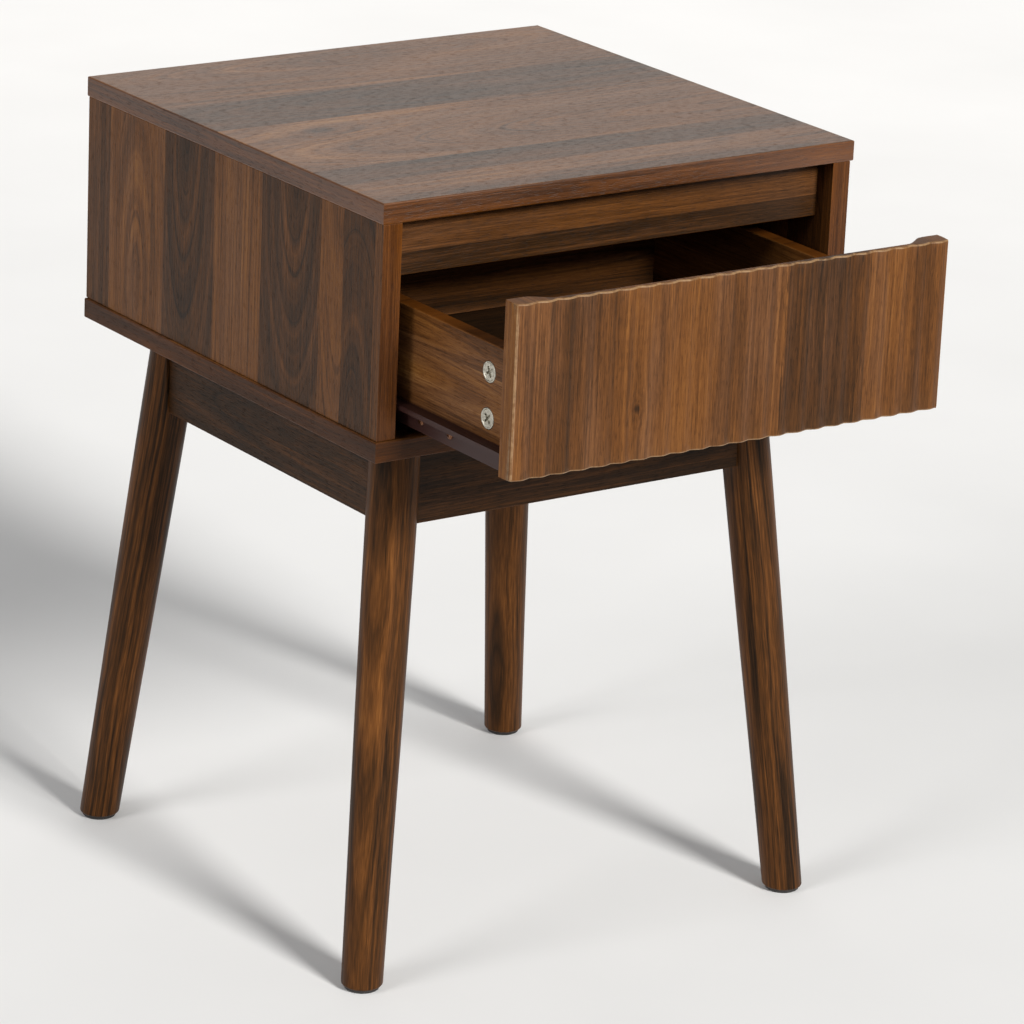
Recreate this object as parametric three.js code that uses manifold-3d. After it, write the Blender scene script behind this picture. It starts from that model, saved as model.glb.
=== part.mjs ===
// Nightstand with one fluted drawer on splayed, tapered legs.
// Units are millimetres; +X is right seen from the front, the front faces -Y, +Z is up.
// The drawer is drawn part-open, pulled REST_OPEN out of its closed position.
import * as THREE from 'three';
import { mergeVertices } from 'three/addons/utils/BufferGeometryUtils.js';
import Module from 'manifold-3d';

const wasm = await Module();
wasm.setup();

// ---- driving dimensions ----
const WIDTH = 400;              // top and bottom slabs, left to right
const DEPTH = 395;              // top and bottom slabs, front to back
const BOARD = 15;               // thickness of every case board
const CASE_INNER = 153;         // clear height between the two slabs
const LEG_LENGTH = 392;         // underside of the bottom slab to the top of the glide
const GLIDE = 3;                // foot glide thickness
const SIDE_INSET = 1.5;         // side panels set in from the slab's sides and front edge
const RAIL_HEIGHT = 43;         // fixed front rail above the drawer opening
const RAIL_RECESS = 17.5;       // rail face behind the side panels' front edges
const BACK_PANEL = 5;           // back panel thickness, held in grooves
const BACK_SETBACK = 8;         // back panel's rear face in from the rear edges
const GROOVE = 6;               // depth of the back panel's grooves

const FRONT_THICK = 15.5;       // drawer front, crest to back face
const FRONT_GAP = 2;            // drawer front to each side panel
const FRONT_CLEAR = 8.5;        // drawer front's lower edge above the bottom slab
const FRONT_HEIGHT = 122;
const FRONT_CLOSED = 2;         // closed: crest this far behind the slab's front edge
const FLUTES = 22;
const FLUTE_DEPTH = 2.2;
const LIP = 5.3;                // crest to finger groove, along the top edge
const GROOVE_DROP = 22;         // height of the finger groove
const GROOVE_END = 14;          // full thickness left at each end of the groove
const REST_OPEN = 137;          // how far the drawer is pulled out at rest

const SIDE_GAP = 13;            // side panel to drawer side, filled by the runner
const BOX_BOARD = 12;           // drawer sides and back
const BOX_HEIGHT = 82.5;
const BOX_DEPTH = 306;
const BASE = 3;                 // drawer bottom sheet
const BASE_GROOVE = 5;

const APRON_HEIGHT = 63;
const APRON_X = 38;             // side aprons' outer faces in from the slab's sides
const APRON_Y = 36;             // front and rear aprons' outer faces in from the slab's edges
const APRON_END = 61;           // aprons stop here; the legs' inner faces are cut flat
const LEG_INSET = 51;           // leg axis in from the slab's corner, at the slab
const LEG_TOP_R = 18.4;
const LEG_FOOT_R = 15;
const SPLAY = 0.098;            // outward run per millimetre of drop, both ways

const RUNNER_LENGTH = 300;
const STEEL = 1.2;
const ROLLER_R = 8.5;
const GAP = 0.3;                // clearance between turned or bored neighbours

// ---- derived positions ----
const legReach = SPLAY * LEG_LENGTH - LEG_INSET + LEG_FOOT_R;
const caseBack = (DEPTH + REST_OPEN - FRONT_CLOSED - legReach) / 2;
const caseFront = caseBack - DEPTH;
const slabLow = LEG_LENGTH + GLIDE;
const floorZ = slabLow + BOARD;
const ceilZ = floorZ + CASE_INNER;
const sideOuter = WIDTH / 2 - SIDE_INSET;
const sideInner = sideOuter - BOARD;
const sideFront = caseFront + SIDE_INSET;
const drawerFace = caseFront + FRONT_CLOSED - REST_OPEN;
const boxFront = drawerFace + FRONT_THICK;
const boxBack = boxFront + BOX_DEPTH;
const boxOuter = sideInner - SIDE_GAP;
const boxInner = boxOuter - BOX_BOARD;
const boxLow = floorZ + FRONT_CLEAR;
const frontHalf = sideInner - FRONT_GAP;

// ---- looks ----
const WALNUT_TOP = { color: 0x8a6a4c, roughness: 0.5, metalness: 0 };
const WALNUT = { color: 0x6b432a, roughness: 0.55, metalness: 0 };
const WALNUT_FRONT = { color: 0x8b5c36, roughness: 0.5, metalness: 0 };
const WALNUT_DARK = { color: 0x4a2e1e, roughness: 0.6, metalness: 0 };
const BROWN_STEEL = { color: 0x3a2624, roughness: 0.4, metalness: 0.7 };
const COPPER = { color: 0x9c6a4c, roughness: 0.35, metalness: 0.9 };
const ZINC = { color: 0xc9c9c0, roughness: 0.35, metalness: 0.85 };
const NYLON = { color: 0x2a2422, roughness: 0.6, metalness: 0 };
const FELT = { color: 0x1d1a18, roughness: 0.95, metalness: 0 };

// ---- helpers ----
function toManifold(geometry) {
  let plain = geometry.clone();
  plain.deleteAttribute('normal');
  plain.deleteAttribute('uv');
  plain = mergeVertices(plain, 1e-5);
  return new wasm.Manifold(new wasm.Mesh({
    numProp: 3,
    vertProperties: new Float32Array(plain.attributes.position.array),
    triVerts: new Uint32Array(plain.index.array),
  }));
}

function toGeometry(solid) {
  const mesh = solid.getMesh();
  const indexed = new THREE.BufferGeometry();
  const points = [];
  for (let i = 0; i < mesh.vertProperties.length; i += mesh.numProp) {
    points.push(...mesh.vertProperties.slice(i, i + 3));
  }
  indexed.setAttribute('position', new THREE.Float32BufferAttribute(points, 3));
  indexed.setIndex([...mesh.triVerts]);
  const flat = indexed.toNonIndexed();
  flat.computeVertexNormals();
  return flat;
}

function cut(geometry, ...tools) {
  let solid = toManifold(geometry);
  for (const tool of tools) solid = solid.subtract(toManifold(tool));
  return toGeometry(solid);
}

function join(...pieces) {
  let solid = toManifold(pieces[0]);
  for (const piece of pieces.slice(1)) solid = solid.add(toManifold(piece));
  return toGeometry(solid);
}

// A plain block between two corners.
function block(x0, x1, y0, y1, z0, z1) {
  return new THREE.BoxGeometry(x1 - x0, y1 - y0, z1 - z0)
    .translate((x0 + x1) / 2, (y0 + y1) / 2, (z0 + z1) / 2);
}

// A board between two corners with every edge slightly rounded.
function board(x0, x1, y0, y1, z0, z1, soft = 0.8) {
  const w = x1 - x0 - 2 * soft;
  const d = y1 - y0 - 2 * soft;
  const outline = new THREE.Shape();
  outline.moveTo(-w / 2, -d / 2);
  outline.lineTo(w / 2, -d / 2);
  outline.lineTo(w / 2, d / 2);
  outline.lineTo(-w / 2, d / 2);
  outline.closePath();
  return new THREE.ExtrudeGeometry(outline, {
    depth: z1 - z0 - 2 * soft,
    bevelEnabled: true,
    bevelSize: soft,
    bevelThickness: soft,
    bevelSegments: 2,
  }).translate((x0 + x1) / 2, (y0 + y1) / 2, z0 + soft);
}

// A cylinder lying along X between two positions.
function barX(x0, x1, y, z, radius, sides = 12) {
  return new THREE.CylinderGeometry(radius, radius, Math.abs(x1 - x0), sides)
    .rotateZ(Math.PI / 2)
    .translate((x0 + x1) / 2, y, z);
}

// A section drawn in the XZ plane, swept along Y.
function sweepY(points, y0, y1) {
  const outline = new THREE.Shape(points.map(([x, z]) => new THREE.Vector2(x, z)));
  return new THREE.ExtrudeGeometry(outline, { depth: y1 - y0, bevelEnabled: false })
    .rotateX(Math.PI / 2)
    .translate(0, y1, 0);
}

const nightstand = new THREE.Group();

function add(name, geometry, look, group = nightstand) {
  const mesh = new THREE.Mesh(geometry, new THREE.MeshStandardMaterial(look));
  mesh.name = name;
  group.add(mesh);
  return mesh;
}

// ---- case: two slabs, two sides, back panel, front rail ----
const grooveFront = caseBack - BACK_SETBACK - BACK_PANEL - 2 * GAP;
const grooveBack = caseBack - BACK_SETBACK;
const slabHalf = WIDTH / 2;

function slabGroove(z0, z1) {
  return block(-sideInner - GROOVE, sideInner + GROOVE, grooveFront, grooveBack, z0, z1);
}

add('top_panel', cut(
  board(-slabHalf, slabHalf, caseFront, caseBack, ceilZ, ceilZ + BOARD, 1),
  slabGroove(ceilZ - 1, ceilZ + GROOVE),
), WALNUT_TOP);
add('bottom_panel', cut(
  board(-slabHalf, slabHalf, caseFront, caseBack, slabLow, floorZ, 1),
  slabGroove(floorZ - GROOVE, floorZ + 1),
), WALNUT);

const CABINET_SCREWS = [58, 262];     // behind the slab's front edge
const CABINET_SCREW_Z = floorZ + 20;
const railBack = sideFront + RAIL_RECESS + BOARD;

for (const [side, sign] of [['left', -1], ['right', 1]]) {
  const [low, high] = [sign * sideOuter, sign * sideInner].sort((a, b) => a - b);
  const bores = CABINET_SCREWS.map((back) => barX(
    sign * (sideInner - 1), sign * (sideInner + 10.5), caseFront + back, CABINET_SCREW_Z, 1.5 + GAP,
  ));
  add(`side_panel_${side}`, cut(
    board(low, high, sideFront, caseBack, floorZ, ceilZ),
    block(
      Math.min(sign * (sideInner - 1), sign * (sideInner + GROOVE)),
      Math.max(sign * (sideInner - 1), sign * (sideInner + GROOVE)),
      grooveFront, grooveBack, floorZ - 1, ceilZ + 1,
    ),
    ...bores,
  ), WALNUT);
}

add('back_panel', block(
  -sideInner - GROOVE + GAP, sideInner + GROOVE - GAP,
  grooveBack - BACK_PANEL, grooveBack,
  floorZ - GROOVE, ceilZ + GROOVE - GAP,
), WALNUT_DARK);
add('front_rail', board(
  -sideInner, sideInner, railBack - BOARD, railBack, ceilZ - RAIL_HEIGHT, ceilZ,
), WALNUT);

// ---- base: legs, aprons, glides, corner brackets ----
const apronLow = slabLow - APRON_HEIGHT;
const BRACKET_Z = slabLow - 30;
const BRACKET_HEIGHT = 40;
const BRACKET = 2;
const BRACKET_REACH = 34;       // how far the bracket's ends run along the aprons
const BOLT_R = 4;
const corners = [
  ['front_left', -1, -1], ['front_right', 1, -1], ['rear_left', -1, 1], ['rear_right', 1, 1],
];

for (const [label, sx, sy] of corners) {
  // Every shape here is drawn in from the corner: u along X, v along Y.
  const cornerX = sx * slabHalf;
  const cornerY = sy < 0 ? caseFront : caseBack;
  const inward = new THREE.Matrix4().set(
    -sx, 0, 0, cornerX, 0, -sy, 0, cornerY, 0, 0, 1, 0, 0, 0, 0, 1,
  );
  const place = (geometry) => {
    const placed = geometry.applyMatrix4(inward);
    if (sx * sy > 0) return placed;
    // one mirror turns the faces inside out; swap two corners of each triangle
    const open = placed.index ? placed.toNonIndexed() : placed;
    const p = open.attributes.position.array;
    for (let i = 0; i < p.length; i += 9) {
      for (let k = 0; k < 3; k += 1) [p[i + k], p[i + 3 + k]] = [p[i + 3 + k], p[i + k]];
    }
    open.computeVertexNormals();
    return open;
  };

  // Turned leg: a tapered round with a softened foot, leaned outward both ways.
  const profile = [
    [0, GLIDE], [LEG_FOOT_R - 2, GLIDE], [LEG_FOOT_R - 0.6, GLIDE + 0.6], [LEG_FOOT_R, GLIDE + 2.4],
    [(LEG_FOOT_R + LEG_TOP_R) / 2 + 0.4, GLIDE + LEG_LENGTH * 0.5],
    [LEG_TOP_R, slabLow], [0, slabLow],
  ].map(([r, z]) => new THREE.Vector2(r, z));
  const lean = new THREE.Matrix4().set(
    1, 0, SPLAY, LEG_INSET - SPLAY * slabLow,
    0, 1, SPLAY, LEG_INSET - SPLAY * slabLow,
    0, 0, 1, 0, 0, 0, 0, 1,
  );
  const turned = new THREE.LatheGeometry(profile, 48).rotateX(Math.PI / 2).applyMatrix4(lean);
  const footU = LEG_INSET - SPLAY * LEG_LENGTH;
  const pin = new THREE.CylinderGeometry(2.5 + GAP, 2.5 + GAP, 10, 12)
    .rotateX(Math.PI / 2).translate(footU, footU, GLIDE + 4);
  const boltBore = new THREE.CylinderGeometry(BOLT_R + GAP, BOLT_R + GAP, 40, 16)
    .rotateZ(-Math.PI / 4)
    .translate(52 + (APRON_X - APRON_Y) / 2, 52 - (APRON_X - APRON_Y) / 2, BRACKET_Z);
  add(`leg_${label}`, cut(
    place(turned),
    place(block(APRON_END, 120, -50, 150, slabLow - 90, slabLow + 5)),
    place(block(-50, 150, APRON_END, 120, slabLow - 90, slabLow + 5)),
    place(pin), place(boltBore),
  ), WALNUT_DARK);

  // Foot glide: a low nylon button on a pin pressed into the foot.
  const button = [
    [0, 0], [11, 0], [12.4, 0.8], [13, 2], [13, GLIDE], [2.5, GLIDE], [2.5, GLIDE + 8], [0, GLIDE + 8],
  ].map(([r, z]) => new THREE.Vector2(r, z));
  add(`foot_glide_${label}`, place(
    new THREE.LatheGeometry(button, 20).rotateX(Math.PI / 2).translate(footU, footU, 0),
  ), FELT);

  // Corner bracket: a folded steel plate across the corner, behind both aprons.
  const wallU = APRON_X + BOARD;
  const wallV = APRON_Y + BOARD;
  const chord = 50;
  const fold = new THREE.Shape([
    [wallU, wallV + chord], [wallU, wallV + chord + BRACKET_REACH],
    [wallU + BRACKET, wallV + chord + BRACKET_REACH], [wallU + BRACKET, wallV + chord + 0.8],
    [wallU + chord + 0.8, wallV + BRACKET], [wallU + chord + BRACKET_REACH, wallV + BRACKET],
    [wallU + chord + BRACKET_REACH, wallV], [wallU + chord, wallV],
  ].map(([u, v]) => new THREE.Vector2(u, v)));
  const middleU = wallU + chord / 2;
  const middleV = wallV + chord / 2;
  const hole = new THREE.CylinderGeometry(BOLT_R + GAP, BOLT_R + GAP, 20, 16)
    .rotateZ(-Math.PI / 4).translate(middleU, middleV, BRACKET_Z);
  const plate = new THREE.ExtrudeGeometry(fold, { depth: BRACKET_HEIGHT, bevelEnabled: false })
    .translate(0, 0, BRACKET_Z - BRACKET_HEIGHT / 2);
  add(`corner_bracket_${label}`, place(cut(plate, hole)), ZINC);

  // Hanger bolt: shank into the leg, nut tight on the inner face of the bracket.
  const reach = (middleU + middleV) / Math.SQRT2;
  const shank = new THREE.CylinderGeometry(BOLT_R, BOLT_R, 54, 16).translate(0, reach + 14 - 27, 0);
  const nut = new THREE.CylinderGeometry(7.5, 7.5, 6.5, 6).translate(0, reach + 1.42 + 3.25 + 0.6, 0);
  const along = (geometry) => geometry.rotateZ(-Math.PI / 4).translate(
    (middleU - middleV) / 2, (middleV - middleU) / 2, BRACKET_Z,
  );
  add(`corner_bolt_${label}`, place(join(along(shank), along(nut))), ZINC);
}

const apronSpanX = slabHalf - APRON_END;
add('apron_front', board(
  -apronSpanX, apronSpanX, caseFront + APRON_Y, caseFront + APRON_Y + BOARD, apronLow, slabLow,
), WALNUT_DARK);
add('apron_rear', board(
  -apronSpanX, apronSpanX, caseBack - APRON_Y - BOARD, caseBack - APRON_Y, apronLow, slabLow,
), WALNUT_DARK);
add('apron_left', board(
  -slabHalf + APRON_X, -slabHalf + APRON_X + BOARD, caseFront + APRON_END, caseBack - APRON_END,
  apronLow, slabLow,
), WALNUT_DARK);
add('apron_right', board(
  slabHalf - APRON_X - BOARD, slabHalf - APRON_X, caseFront + APRON_END, caseBack - APRON_END,
  apronLow, slabLow,
), WALNUT_DARK);

// ---- drawer ----
const frontLow = boxLow;
const frontHigh = frontLow + FRONT_HEIGHT;
const baseLow = boxLow + 10;
const pitch = 2 * frontHalf / FLUTES;

// How far the fluted face lies behind its crests at x.
function fluteSink(x) {
  const wave = Math.abs(Math.sin(Math.PI * (x + frontHalf) / pitch));
  return FLUTE_DEPTH * (1 - (0.45 * wave + 0.55 * wave * wave));
}

function flutedFront() {
  const soft = 1;
  const end = frontHalf - soft;
  const steps = FLUTES * 6;
  const face = [];
  for (let i = 0; i <= steps; i += 1) {
    const x = -end + 2 * end * i / steps;
    const corner = Math.max(0, Math.abs(x) - (end - 1.6));
    face.push(new THREE.Vector2(x, drawerFace + soft + Math.max(fluteSink(x) * 0.999, corner * 0.9)));
  }
  const outline = new THREE.Shape([
    ...face, new THREE.Vector2(end, boxFront - soft), new THREE.Vector2(-end, boxFront - soft),
  ]);
  const body = new THREE.ExtrudeGeometry(outline, {
    depth: FRONT_HEIGHT - 2 * soft,
    bevelEnabled: true,
    bevelSize: soft,
    bevelThickness: soft,
    bevelSegments: 2,
  }).translate(0, 0, frontLow + soft);

  // finger groove behind the top edge, blending out to full thickness at both ends
  const lipBack = drawerFace + LIP;
  const blend = 20;
  const open = new THREE.Shape();
  open.moveTo(-frontHalf + GROOVE_END, boxFront + 1);
  open.lineTo(-frontHalf + GROOVE_END, boxFront);
  open.bezierCurveTo(
    -frontHalf + GROOVE_END + blend * 0.55, boxFront, -frontHalf + GROOVE_END + blend * 0.4, lipBack,
    -frontHalf + GROOVE_END + blend, lipBack,
  );
  open.lineTo(frontHalf - GROOVE_END - blend, lipBack);
  open.bezierCurveTo(
    frontHalf - GROOVE_END - blend * 0.4, lipBack, frontHalf - GROOVE_END - blend * 0.55, boxFront,
    frontHalf - GROOVE_END, boxFront,
  );
  open.lineTo(frontHalf - GROOVE_END, boxFront + 1);
  open.closePath();
  const finger = new THREE.ExtrudeGeometry(open, {
    depth: GROOVE_DROP + 5,
    bevelEnabled: false,
    curveSegments: 10,
  }).translate(0, 0, frontHigh - GROOVE_DROP);

  const sheetSlot = block(
    -boxInner - BASE_GROOVE, boxInner + BASE_GROOVE, boxFront - BASE_GROOVE, boxFront + 1,
    baseLow, baseLow + BASE + 2 * GAP,
  );
  return cut(body, finger, sheetSlot);
}
add('drawer_front', flutedFront(), WALNUT_FRONT);

const CAM_BACK = 31;            // cam centres behind the drawer front
const CAM_R = 7.4;
const CAM_DEEP = 9;
const camHeights = [['upper', 71], ['lower', 38.6]];
const DRAWER_SCREWS = [72, 107];
const DRAWER_SCREW_Z = floorZ + 15.5;
const CONFIRMAT_R = 2.5;
const confirmatHeights = [['upper', 68], ['lower', 34]];
const boxTop = boxLow + BOX_HEIGHT;

for (const [side, sign] of [['left', -1], ['right', 1]]) {
  const [low, high] = [sign * boxOuter, sign * boxInner].sort((a, b) => a - b);
  const bores = [];
  for (const [, height] of camHeights) {
    bores.push(barX(
      sign * (boxOuter + 1), sign * (boxOuter - CAM_DEEP), boxFront + CAM_BACK, floorZ + height,
      CAM_R + GAP, 28,
    ));
  }
  for (const back of DRAWER_SCREWS) {
    bores.push(barX(
      sign * (boxOuter + 1), sign * (boxOuter - 9.5), boxFront + back, DRAWER_SCREW_Z, 1.5 + GAP,
    ));
  }
  for (const [, height] of confirmatHeights) {
    bores.push(barX(
      sign * (boxOuter + 1), sign * (boxInner - 1), boxBack - BOX_BOARD / 2, floorZ + height,
      CONFIRMAT_R + GAP,
    ));
    bores.push(barX(
      sign * (boxOuter + 1), sign * (boxOuter - 2.3), boxBack - BOX_BOARD / 2, floorZ + height,
      4.5 + GAP, 16,
    ));
  }
  add(`drawer_side_${side}`, cut(
    board(low, high, boxFront, boxBack, boxLow, boxTop, 0.9),
    block(
      Math.min(sign * (boxInner - 1), sign * (boxInner + BASE_GROOVE)),
      Math.max(sign * (boxInner - 1), sign * (boxInner + BASE_GROOVE)),
      boxFront - 1, boxBack + 1, baseLow, baseLow + BASE + 2 * GAP,
    ),
    ...bores,
  ), WALNUT);

  // Cam lock: a cast disc turned with a cross driver, flush in the drawer side.
  for (const [label, height] of camHeights) {
    const y = boxFront + CAM_BACK;
    const z = floorZ + height;
    const rim = [
      [0, 0], [CAM_R - 0.5, 0], [CAM_R, 0.5], [CAM_R, CAM_DEEP - 0.4], [CAM_R - 0.5, CAM_DEEP + 0.3],
      [CAM_R - 1.1, CAM_DEEP + 0.3], [CAM_R - 1.5, CAM_DEEP - 0.1], [0, CAM_DEEP - 0.1],
    ].map(([r, h]) => new THREE.Vector2(r, h));
    const disc = new THREE.LatheGeometry(rim, 28);
    const slots = [0, Math.PI / 2].map((turn) => new THREE.BoxGeometry(6.4, 5, 1.5)
      .translate(0, CAM_DEEP, 0).rotateY(turn + 0.5));
    add(`cam_lock_${side}_${label}`, cut(disc, ...slots)
      .rotateZ(sign > 0 ? -Math.PI / 2 : Math.PI / 2)
      .translate(sign * (boxOuter - CAM_DEEP), y, z), ZINC);
  }

  // Assembly screw: flat head in the side, thread run into the end of the drawer back.
  for (const [label, height] of confirmatHeights) {
    const screw = [
      [0, 0], [CONFIRMAT_R - 1, 0], [CONFIRMAT_R, 1.5], [CONFIRMAT_R, 36], [4.5, 37.8], [4.5, 38.3], [0, 38.3],
    ].map(([r, h]) => new THREE.Vector2(r, h));
    add(`box_screw_${side}_${label}`, cut(
      new THREE.LatheGeometry(screw, 14),
      new THREE.CylinderGeometry(2, 2, 6, 6).translate(0, 38.3, 0),
    )
      .rotateZ(sign > 0 ? -Math.PI / 2 : Math.PI / 2)
      .translate(sign * (boxOuter - 38.5), boxBack - BOX_BOARD / 2, floorZ + height), ZINC);
  }
}

add('drawer_back', cut(
  board(-boxInner, boxInner, boxBack - BOX_BOARD, boxBack, boxLow, boxTop, 0.9),
  block(
    -boxInner - 1, boxInner + 1, boxBack - BOX_BOARD - 1, boxBack - BOX_BOARD + BASE_GROOVE,
    baseLow, baseLow + BASE + 2 * GAP,
  ),
  ...[-1, 1].flatMap((sign) => confirmatHeights.map(([, height]) => barX(
    sign * (boxInner + 1), sign * (boxOuter - 39.5), boxBack - BOX_BOARD / 2, floorZ + height,
    CONFIRMAT_R + GAP,
  ))),
), WALNUT);
add('drawer_bottom', block(
  -boxInner - BASE_GROOVE + GAP, boxInner + BASE_GROOVE - GAP,
  boxFront - BASE_GROOVE + GAP, boxBack - BOX_BOARD + BASE_GROOVE - GAP,
  baseLow, baseLow + BASE,
), WALNUT_DARK);

// ---- runners: roller slides that carry the drawer by its lower edge ----
// Sections are drawn with u, the distance in from the side panel, and h above the bottom slab.
const cabinetFront = caseFront + 20;
const frontRollerY = cabinetFront + 14;
const frontRollerZ = floorZ + 14;
const rearRollerY = boxBack - 11;
const rearRollerZ = floorZ + 12.9;

for (const [side, sign] of [['left', -1], ['right', 1]]) {
  const atU = (u) => sign * (sideInner - u);
  const section = (points) => {
    const placed = points.map(([u, h]) => [atU(u), floorZ + h]);
    return sign > 0 ? placed.reverse() : placed;
  };
  const rail = (points, y0, y1) => sweepY(section(points), y0, y1);
  const pinX = (u0, u1, y, z, radius, sides = 14) => barX(atU(u0), atU(u1), y, z, radius, sides);
  const trim = (u0, u1, y0, y1, h0, h1) => block(
    Math.min(atU(u0), atU(u1)), Math.max(atU(u0), atU(u1)), y0, y1, floorZ + h0, floorZ + h1,
  );

  // Cabinet runner: a C channel screwed to the side panel, with a roller at its front end.
  const channel = rail([
    [0, 3], [10.5, 3], [10.5, 6.5], [9.3, 6.5], [9.3, 3 + STEEL], [STEEL, 3 + STEEL],
    [STEEL, 26], [8, 26], [8, 26 + STEEL], [0, 26 + STEEL],
  ], cabinetFront, cabinetFront + RUNNER_LENGTH);
  const cabinetHoles = CABINET_SCREWS.map((back) => pinX(
    -1, 2, caseFront + back, CABINET_SCREW_Z, 1.5 + GAP,
  ));
  add(`runner_cabinet_${side}`, join(
    cut(channel, ...cabinetHoles, trim(9, 11, cabinetFront - 1, cabinetFront + 26, 3 + STEEL, 8)),
    pinX(0.4, 4.2, frontRollerY, frontRollerZ, 3.5),
    pinX(4, 9.3, frontRollerY, frontRollerZ, 2),
    pinX(9.1, 9.7, frontRollerY, frontRollerZ, 3.5),
  ), BROWN_STEEL);

  // Drawer runner: wraps under the drawer side and hooks outward over the front roller.
  const hook = rail([
    [25, 7.3], [25, 8.5], [13, 8.5], [13, 24], [3, 24], [3, 20.3], [4.2, 20.3], [4.2, 22.8],
    [11.8, 22.8], [11.8, 7.3],
  ].reverse(), boxFront + 0.5, boxBack - 0.5);
  const drawerHoles = DRAWER_SCREWS.map((back) => pinX(
    11, 14, boxFront + back, DRAWER_SCREW_Z, 1.5 + GAP,
  ));
  add(`runner_drawer_${side}`, join(
    cut(hook, ...drawerHoles, trim(2, 4.7, rearRollerY - 12, boxBack + 1, 18, 22.8)),
    pinX(8.6, 12.4, rearRollerY, rearRollerZ, 3.5),
    pinX(3.4, 9, rearRollerY, rearRollerZ, 2),
    pinX(2.9, 3.5, rearRollerY, rearRollerZ, 3.5),
  ), BROWN_STEEL);

  // Rollers: nylon tyres turning on the runners' pins.
  const tyre = (u0, u1) => {
    const w = u1 - u0;
    const ring = [
      [2 + GAP, 0], [ROLLER_R - 0.6, 0], [ROLLER_R, 0.6], [ROLLER_R, w - 0.6], [ROLLER_R - 0.6, w],
      [2 + GAP, w], [2 + GAP, 0],
    ].map(([r, h]) => new THREE.Vector2(r, h));
    return new THREE.LatheGeometry(ring, 28).rotateZ(sign > 0 ? Math.PI / 2 : -Math.PI / 2);
  };
  add(`roller_front_${side}`, tyre(4.5, 8.9).translate(atU(4.5), frontRollerY, frontRollerZ), NYLON);
  add(`roller_rear_${side}`, tyre(3.8, 8.3).translate(atU(3.8), rearRollerY, rearRollerZ), NYLON);

  // Screws: pan heads into the drawer side, wafer heads into the side panel.
  const screwSpots = ['front', 'rear'];
  DRAWER_SCREWS.forEach((back, i) => {
    const pan = [
      [0, 0], [1, 0], [1.5, 1.2], [1.5, 9.6], [3.1, 9.6], [3.1, 10.1], [2.4, 10.9], [1.2, 11.2], [0, 11.3],
    ].map(([r, h]) => new THREE.Vector2(r, h));
    const slots = [0, Math.PI / 2].map((turn) => new THREE.BoxGeometry(3.2, 1.6, 0.8)
      .translate(0, 11.3, 0).rotateY(turn + 0.6 + i));
    add(`drawer_screw_${side}_${screwSpots[i]}`, cut(new THREE.LatheGeometry(pan, 14), ...slots)
      .rotateZ(sign > 0 ? -Math.PI / 2 : Math.PI / 2)
      .translate(atU(11.8 + 9.6), boxFront + back, DRAWER_SCREW_Z), COPPER);
  });
  CABINET_SCREWS.forEach((back, i) => {
    const wafer = [
      [0, 0], [1, 0], [1.5, 1.2], [1.5, 10.8], [3.2, 10.8], [3.2, 11.4], [2.6, 12], [0, 12.1],
    ].map(([r, h]) => new THREE.Vector2(r, h));
    const slots = [0, Math.PI / 2].map((turn) => new THREE.BoxGeometry(3.2, 1.2, 0.8)
      .translate(0, 12.1, 0).rotateY(turn + 0.3));
    add(`cabinet_screw_${side}_${screwSpots[i]}`, cut(new THREE.LatheGeometry(wafer, 14), ...slots)
      .rotateZ(sign > 0 ? Math.PI / 2 : -Math.PI / 2)
      .translate(atU(STEEL - 10.8), caseFront + back, CABINET_SCREW_Z), COPPER);
  });
}

export default nightstand;
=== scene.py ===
import math

import bmesh
import bpy
from mathutils import Matrix, Vector


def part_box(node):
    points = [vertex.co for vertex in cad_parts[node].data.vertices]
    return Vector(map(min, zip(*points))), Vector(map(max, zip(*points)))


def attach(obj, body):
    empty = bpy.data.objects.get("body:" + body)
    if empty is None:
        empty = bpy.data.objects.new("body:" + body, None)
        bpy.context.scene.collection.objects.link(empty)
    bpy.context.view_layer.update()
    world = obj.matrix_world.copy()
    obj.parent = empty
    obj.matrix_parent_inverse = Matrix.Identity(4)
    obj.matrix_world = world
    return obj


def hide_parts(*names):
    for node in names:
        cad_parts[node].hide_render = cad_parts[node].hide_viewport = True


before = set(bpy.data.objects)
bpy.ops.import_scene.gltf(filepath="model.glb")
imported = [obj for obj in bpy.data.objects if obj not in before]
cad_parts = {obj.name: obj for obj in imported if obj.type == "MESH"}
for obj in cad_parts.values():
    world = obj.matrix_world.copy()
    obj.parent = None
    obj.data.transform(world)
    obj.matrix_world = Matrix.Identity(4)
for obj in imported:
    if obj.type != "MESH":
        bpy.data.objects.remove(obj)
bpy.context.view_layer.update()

# ---- Camera -----------------------------------------------------------------
# A long lens looks down on the left front corner from standing height, with
# the head tilted a little.
eye = Vector((-1.97264, -2.79273, 1.43528))
looks_at = Vector((0.09775, 0.12531, 0.23770))
head_tilt = math.radians(2.539)

lens = bpy.data.cameras.new("camera")
lens.lens = 174.0
lens.sensor_width = 36.0
lens.clip_end = 60.0
camera = bpy.data.objects.new("camera", lens)
bpy.context.scene.collection.objects.link(camera)
turned = (looks_at - eye).to_track_quat("-Z", "Y").to_matrix().to_4x4()
camera.matrix_world = Matrix.Translation(eye) @ turned @ Matrix.Rotation(head_tilt, 4, "Z")
bpy.context.scene.camera = camera

# ---- Shader arithmetic and the studio floor ---------------------------------
# The nightstand stands on a seamless pale studio floor of matt painted board,
# faintly mottled. A Strand is one value, colour or vector inside a finish.


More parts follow.
